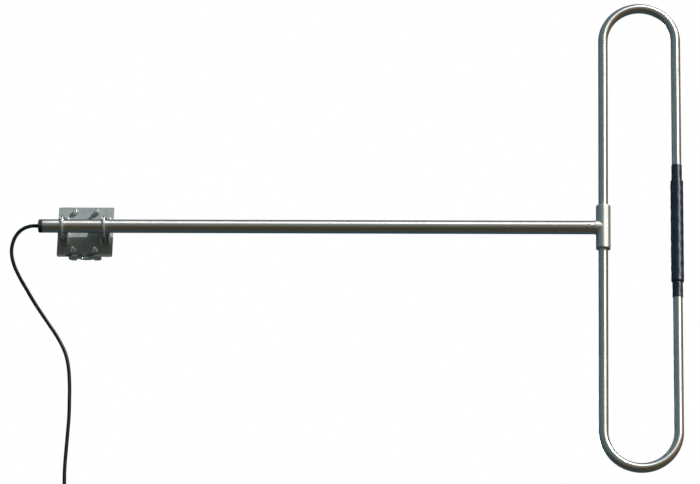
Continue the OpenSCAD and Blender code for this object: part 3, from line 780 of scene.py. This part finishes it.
def make_bolt_steel():
    """Zinc coated steel: bright, with dull patches and small spots of whitish bloom."""
    made, tree, shader = new_material("bolt_steel")
    patches = use(tree, dust, Spot_size=0.006, Cover=0.8, Upward=0.2)["Mask"]
    bloom = use(tree, dust, Spot_size=0.002, Cover=0.5, Upward=0.4)["Mask"]
    worn = mixed(tree, patches, (0.76, 0.77, 0.78), (0.48, 0.46, 0.42))
    feed(tree, shader, Metallic=ramp(tree, patches, [(0.0, 0.92), (1.0, 0.70)]),
         Base_Color=mixed(tree, bloom, worn, (0.64, 0.64, 0.62)),
         Roughness=ramp(tree, patches, [(0.0, 0.26), (1.0, 0.44)]))
    return made


bolt_steel = make_bolt_steel()
coat_node("boom_lock_screw", bolt_steel)


# Loop. Two halves of one bent stainless tube. Each runs from the tee up or down, round a half circle
# and back along the front leg to the feed gap.

tee_chamber = 0.020     # half the gap between the halves inside the tee
loop_bend_steps = 72
back_leg_steps = 24
front_leg_steps = 16
loop_sides = 48


def half_loop(name, node, up):
    """Pipe along one half of the loop: straight, half circle about the middle of the two legs, straight.
    Outer and inner walls are one looped grid, so that the open ends have the wall's real thickness."""
    low, high = box_of(node)
    tube_r = (high - low)[1] / 2
    back_x, front_x = low[0] + tube_r, high[0] - tube_r
    bend_r = (front_x - back_x) / 2
    far_z = high[2] - tube_r if up else low[2] + tube_r
    bend_z = far_z - bend_r if up else far_z + bend_r
    gap_z = low[2] if up else high[2]
    sign = 1 if up else -1
    back = np.column_stack([
        np.full(back_leg_steps, back_x), np.linspace(sign * tee_chamber, bend_z, back_leg_steps),
    ])
    angle = np.linspace(np.pi, 0, loop_bend_steps)[1:-1]
    bend = np.column_stack([
        (back_x + front_x) / 2 + bend_r * np.cos(angle), bend_z + sign * bend_r * np.sin(angle),
    ])
    front = np.column_stack([
        np.full(front_leg_steps, front_x), np.linspace(bend_z, gap_z, front_leg_steps),
    ])
    flat = np.vstack([back, bend, front])
    path = np.column_stack([flat[:, 0], np.full(len(flat), boom_y), flat[:, 1]])
    outer = rings_along(path, tube_r, loop_sides)
    inner = rings_along(path, tube_r - tube_wall, loop_sides)
    return skin(name, np.concatenate([outer, inner[::-1]]), looped=True)


for name, node, up in (("loop_upper_half", "upper_loop_tube", True),
                       ("loop_lower_half", "lower_loop_tube", False)):
    dress(half_loop(name, node, up), stainless_tube, "stainless_tube", node)


# Feed point. A white core keeps the tube's two ends apart, two brass screws take the line, shrink
# collars seal the tube, and a thick shrunk black sleeve covers it all.

core_edge = 0.0004
sleeve_edge = 0.0025
collar_edge = 0.0009
sleeve_wave = 0.00016   # how unevenly the sleeve has shrunk
collar_wave = 0.00010


def make_sleeve():
    """Shrunk black plastic: faint lines along it, a soft sheen and a little pale dust."""
    made, tree, shader = new_material("black_sleeve")
    place = join(tree, "ShaderNodeTexCoord").outputs["Object"]
    lines = streaks(tree, place, (400, 400, 12), 4.0)
    dusty = use(tree, dust, Spot_size=0.015, Cover=0.4, Upward=0.6)["Mask"]
    feed(tree, shader, Base_Color=mixed(tree, dusty, (0.002, 0.010, 0.026), (0.013, 0.034, 0.050)),
         Roughness=ramp(tree, lines, [(0.3, 0.40), (0.7, 0.50)]),
         Specular_IOR_Level=0.85, Normal=bump(tree, lines, 0.2, 0.0003))
    stretch_gloss(tree, shader, 0.85)
    return made


def shrunk(name, node, bore, edge, wave, stations=90, sides=64):
    """Shrunk tube along Z in a CAD node's box. Two slow waves run round it and wind along it, with s in
    metres: r = radius - wave (2 + sin(3 t + 130 s) + sin(5 t - 210 s))."""
    low, high = box_of(node)
    radius, length = (high - low)[0] / 2, (high - low)[2]
    radii, places = pipe_profile(bore, radius, 0, length, edge, stations)
    t = np.linspace(0, 2 * np.pi, sides, endpoint=False)[None]
    waves = 2 + np.sin(3 * t + 130 * places[:, None]) + np.sin(5 * t - 210 * places[:, None])
    outside = (radii > bore)[:, None]
    foot = (*(low + high)[:2] / 2, low[2])
    grid = turned(radii[:, None] - wave * waves * outside, places, foot, (0, 0, 1), sides)
    return skin(name, grid, looped=True)


black_sleeve = make_sleeve()
dress(softened("feed_insulator", "feed_core", core_edge), white_insulator, "white_insulator", "feed_core")
coat_node("terminal_screws", brass)
collar_low, collar_high = box_of("upper_collar")
collar_r = (collar_high - collar_low)[0] / 2
dress(shrunk("sleeve", "feed_sleeve", collar_r + tee_slip, sleeve_edge, sleeve_wave),
      black_sleeve, "black_sleeve", "feed_sleeve")
for name, node in (("collar_above", "upper_collar"), ("collar_below", "lower_collar")):
    dress(shrunk(name, node, loop_r + tee_slip, collar_edge, collar_wave),
          black_sleeve, "black_sleeve", node)


# Mast clamp. A flat plate, behind it a folded channel whose notched flanges sit on the mast, and in
# front two folded saddles for the boom. All are laser cut from rolled stainless sheet; their cut faces
# and flanges are given a bright colour, partly bare metal and partly a painted highlight.

sheet_edge = 0.0005
painted_shadow_h = 0.0045        # painted shadow covers the plate from its lower edge to here, and ends at
painted_shadow_end_h = 0.0085
pickled_grey = (0.275, 0.325, 0.345)
clouded_grey = (0.205, 0.235, 0.245)
run_grey = (0.165, 0.190, 0.190)
painted_shadow_grey = (0.095, 0.110, 0.115)
# Painted highlight on cut and folded faces, partly bare metal, and a plainer grey where they look up.
cut_metal_and_glint = (0.86, 0.86, 0.84)
upward_cut_grey = (0.30, 0.31, 0.31)


def make_sheet():
    """Rolled sheet with a pickled grey skin: fine grain along X, clouds, run-off marks down it, and a
    painted shadow that darkens the plate along its lower edge. Faces that don't look to the front or back
    are cut or folded, and get a bright colour that is partly bare metal and partly a painted highlight;
    faces that look up get a plainer grey."""
    made, tree, shader = new_material("clamp_sheet")
    place = join(tree, "ShaderNodeTexCoord").outputs["Object"]
    grain = streaks(tree, place, (40, 900, 900), 4.0)
    runs = streaks(tree, place, (140, 140, 9), 5.0)
    clouds = use(tree, dust, Spot_size=0.03, Cover=0.7, Upward=0.3)["Mask"]
    plate_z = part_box("clamp_plate")[0][2]
    # Painted shadow: the plate is darkened towards its lower edge, where the key light reaches past the
    # boom's shadow.
    height = join(tree, "ShaderNodeSeparateXYZ", Vector=place).outputs["Z"]
    painted_shadow_band = join(tree, "ShaderNodeMapRange", Value=height, From_Min=plate_z + painted_shadow_h,
                 From_Max=plate_z + painted_shadow_end_h, To_Min=1.0, To_Max=0.0).outputs["Result"]
    way = facing(tree)
    # Painted highlight: faces that don't look to the front or back get a bright colour, partly bare cut
    # metal and partly the glint of light on the flanges; faces that look up get a plainer grey.
    cut_face = ramp(tree, maths(tree, "ABSOLUTE", way["Y"]), [(0.35, 1.0), (0.75, 0.0)])
    upward = ramp(tree, way["Z"], [(0.7, 0.0), (0.95, 1.0)])
    cut_and_glint_colour = mixed(tree, upward, cut_metal_and_glint, upward_cut_grey)
    clouded = mixed(tree, clouds, pickled_grey, clouded_grey)
    streaked = mixed(tree, ramp(tree, runs, [(0.55, 0.0), (0.72, 0.5)]), clouded, run_grey)
    feed(tree, shader, Metallic=ramp(tree, cut_face, [(0.0, 0.04), (1.0, 0.10)]),
         Base_Color=mixed(tree, cut_face, mixed(tree, painted_shadow_band, streaked, painted_shadow_grey), cut_and_glint_colour),
         Roughness=ramp(tree, grain, [(0.3, 0.42), (0.7, 0.56)]),
         Normal=bump(tree, grain, 0.2, 0.0002))
    return made


clamp_sheet = make_sheet()
for name, node in (
    ("plate", "clamp_plate"),
    ("saddle_on_mast", "mast_saddle"),
    ("saddle_of_boom_left", "left_boom_saddle"),
    ("saddle_of_boom_right", "right_boom_saddle"),
):
    dress(softened(name, node, sheet_edge), clamp_sheet, "clamp_sheet", node)


# Bolts. Four round bars, rolled with a thread at both ends and bent to fit the mast or the boom. The
# thread is a helix: its crest lies where the place along the bar, in pitches, equals the turn round it.

thread_pitch = 0.00125
thread_depth = 0.00062
mast_thread_l = 0.052
boom_thread_l = 0.036
tip_cut = 0.001
bolt_sides = 24
bolt_bend_steps = 42


def bent_bolt(name, node, plane, thread_l):
    """Bar along a leg, a half circle and the other leg, in the plane square to the axis plane. A leg's
    stations are a sixth of a pitch apart over the thread: r = r0 - depth tri(s / pitch - t / 2 pi), eased
    out over the thread's last two pitches, and r0 is cut at 45 degrees at the tip."""
    low, high = box_of(node)
    middle = (low + high) / 2
    side = 0 if plane == 2 else 2
    bar_r = (high - low)[plane] / 2
    bend_r = (high - low)[side] / 2 - bar_r
    towards_tip = -1 if plane == 2 else 1
    tip_y = low[1] if towards_tip < 0 else high[1]
    bend_y = high[1] - bar_r - bend_r if towards_tip < 0 else low[1] + bar_r + bend_r
    leg = abs(tip_y - bend_y)
    threaded = np.arange(0, thread_l, thread_pitch / 6)
    straight = np.linspace(thread_l, leg, 8)[:-1]
    down = np.concatenate([threaded, straight])
    bend = np.linspace(0, np.pi, bolt_bend_steps)
    across = np.concatenate([
        np.full(len(down), -bend_r), -bend_r * np.cos(bend), np.full(len(down), bend_r),
    ])
    from_bend = np.concatenate([leg - down, -bend_r * np.sin(bend), (leg - down)[::-1]])
    path = np.tile(middle, (len(across), 1))
    path[:, side] += across
    path[:, 1] = bend_y + towards_tip * from_bend
    from_tip = leg - np.maximum(from_bend, 0)
    turn = np.arange(bolt_sides) / bolt_sides
    phase = from_tip[:, None] / thread_pitch - turn
    runout = np.clip((thread_l - from_tip) / (2 * thread_pitch), 0, 1)[:, None]
    groove = thread_depth * runout * 2 * np.abs(phase - np.round(phase))
    radius = np.minimum(bar_r - groove, bar_r - tip_cut + from_tip[:, None])
    normal = np.zeros(3)
    normal[plane] = 1
    return skin(name, rings_along(path, radius, bolt_sides, normal))


def hex_nut(bore, flats, thickness, sides):
    """Rings of a nut from its washer face. The hexagon is r = (flats / 2) / cos(t - nearest flat), and its
    corners are cut where the face's cone, at 30 degrees, passes through it."""
    t = np.linspace(0, 2 * np.pi, sides, endpoint=False)
    hexagon = flats / 2 / np.cos((t + np.pi / 6) % (np.pi / 3) - np.pi / 6)
    face_r = flats * 0.485
    cut = (hexagon - face_r) * np.tan(np.radians(30))
    lead = 0.0005
    return ([bore, bore + lead, face_r, hexagon, hexagon, face_r, bore + lead, bore],
            [lead, 0, 0, cut, thickness - cut, thickness, thickness, thickness - lead])


def washer(bore, radius, thickness):
    """Rings of a flat washer with one punched, rounded edge and one crisp edge."""
    rounded_r, rounded_s = rim(radius, 0, thickness * 0.3)
    return (np.concatenate([[bore], rounded_r, [radius, bore]]),
            np.concatenate([[0], rounded_s, [thickness] * 2]))


def spring_washer(bore, radius, thickness, foot, axis):
    """Split ring: an oblong section carried round from one side of the slot to the other. Its ends are
    cut askew, so the angle also grows with the place across the thickness."""
    u, v = np.array([0, 0, 1.0]), np.array([1.0, 0, 0])
    corner = thickness * 0.15
    out = np.array([bore, radius - corner, radius, radius, radius - corner, bore])
    up = np.array([0, 0, corner, thickness - corner, thickness, thickness])
    half_slot, askew = 0.12, 0.5    # both in radians
    along = np.linspace(half_slot, 2 * np.pi - half_slot, 73)
    turn = along[:, None] + askew * (up / thickness - 0.5)[None]
    return (foot + up[None, :, None] * np.array(axis, float)
            + out[None, :, None] * (np.cos(turn)[:, :, None] * u + np.sin(turn)[:, :, None] * v))


mast_legs, boom_legs = [], []
for name, node, plane, thread_l, legs in (
    ("mast_bolt_above", "upper_mast_bolt", 2, mast_thread_l, mast_legs),
    ("mast_bolt_below", "lower_mast_bolt", 2, mast_thread_l, mast_legs),
    ("boom_bolt_left", "left_boom_bolt", 0, boom_thread_l, boom_legs),
    ("boom_bolt_right", "right_boom_bolt", 0, boom_thread_l, boom_legs),
):
    dress(bent_bolt(name, node, plane, thread_l), bolt_steel, "bolt_steel", node)
    low, high = box_of(node)
    bar = (high - low)[plane] / 2
    legs += [(low[0] + bar, low[2] + bar), (high[0] - bar, high[2] - bar)]

bolt_bore = 0.0036      # inside the thread's crests, so that no gap shows
nut_flats = 0.013
washer_r = 0.008
spring_r = 0.007
nut_sides = 96
for place, legs, axis_y in (("mast", mast_legs, -1), ("boom", boom_legs, 1)):
    for kind in ("washers", "spring_washers", "nuts"):
        node = f"{place}_bolt_{kind}" if kind != "spring_washers" else f"{place}_spring_washers"
        low, high = box_of(node)
        thickness = (high - low)[1]
        foot_y = high[1] if axis_y < 0 else low[1]
        axis = (0, axis_y, 0)
        if kind == "spring_washers":
            grids = [spring_washer(bolt_bore, spring_r, thickness, np.array((x, foot_y, z)), axis)
                     for x, z in legs]
            made = skin(node + "_split", grids)
        else:
            profile = hex_nut(bolt_bore, nut_flats, thickness, nut_sides) if kind == "nuts" else washer(
                bolt_bore, washer_r, thickness)
            grids = [turned(*profile, (x, foot_y, z), axis, nut_sides) for x, z in legs]
            made = skin(node + "_turned", grids, looped=True, sharp=25)
        dress(made, bolt_steel, "bolt_steel", node)


# Cable inside the boom and the loop. The cable ends in a moulded joint, and a thin brown line goes on
# through the tee and round the upper bend to the feed gap.

def make_line():
    """Glossy brown jacket of the thin line."""
    made, tree, shader = new_material("line_jacket")
    place = join(tree, "ShaderNodeTexCoord").outputs["Object"]
    tint = join(tree, "ShaderNodeTexNoise", Vector=place, Scale=120.0, Detail=3.0).outputs["Fac"]
    feed(tree, shader, Base_Color=mixed(tree, tint, (0.20, 0.085, 0.035), (0.30, 0.14, 0.06)),
         Roughness=ramp(tree, tint, [(0.3, 0.22), (0.7, 0.34)]))
    return made


coat_node("cable_lead_in", black_rubber)
coat_node("cable_joint", black_sleeve)
coat_node("loop_line", make_line())
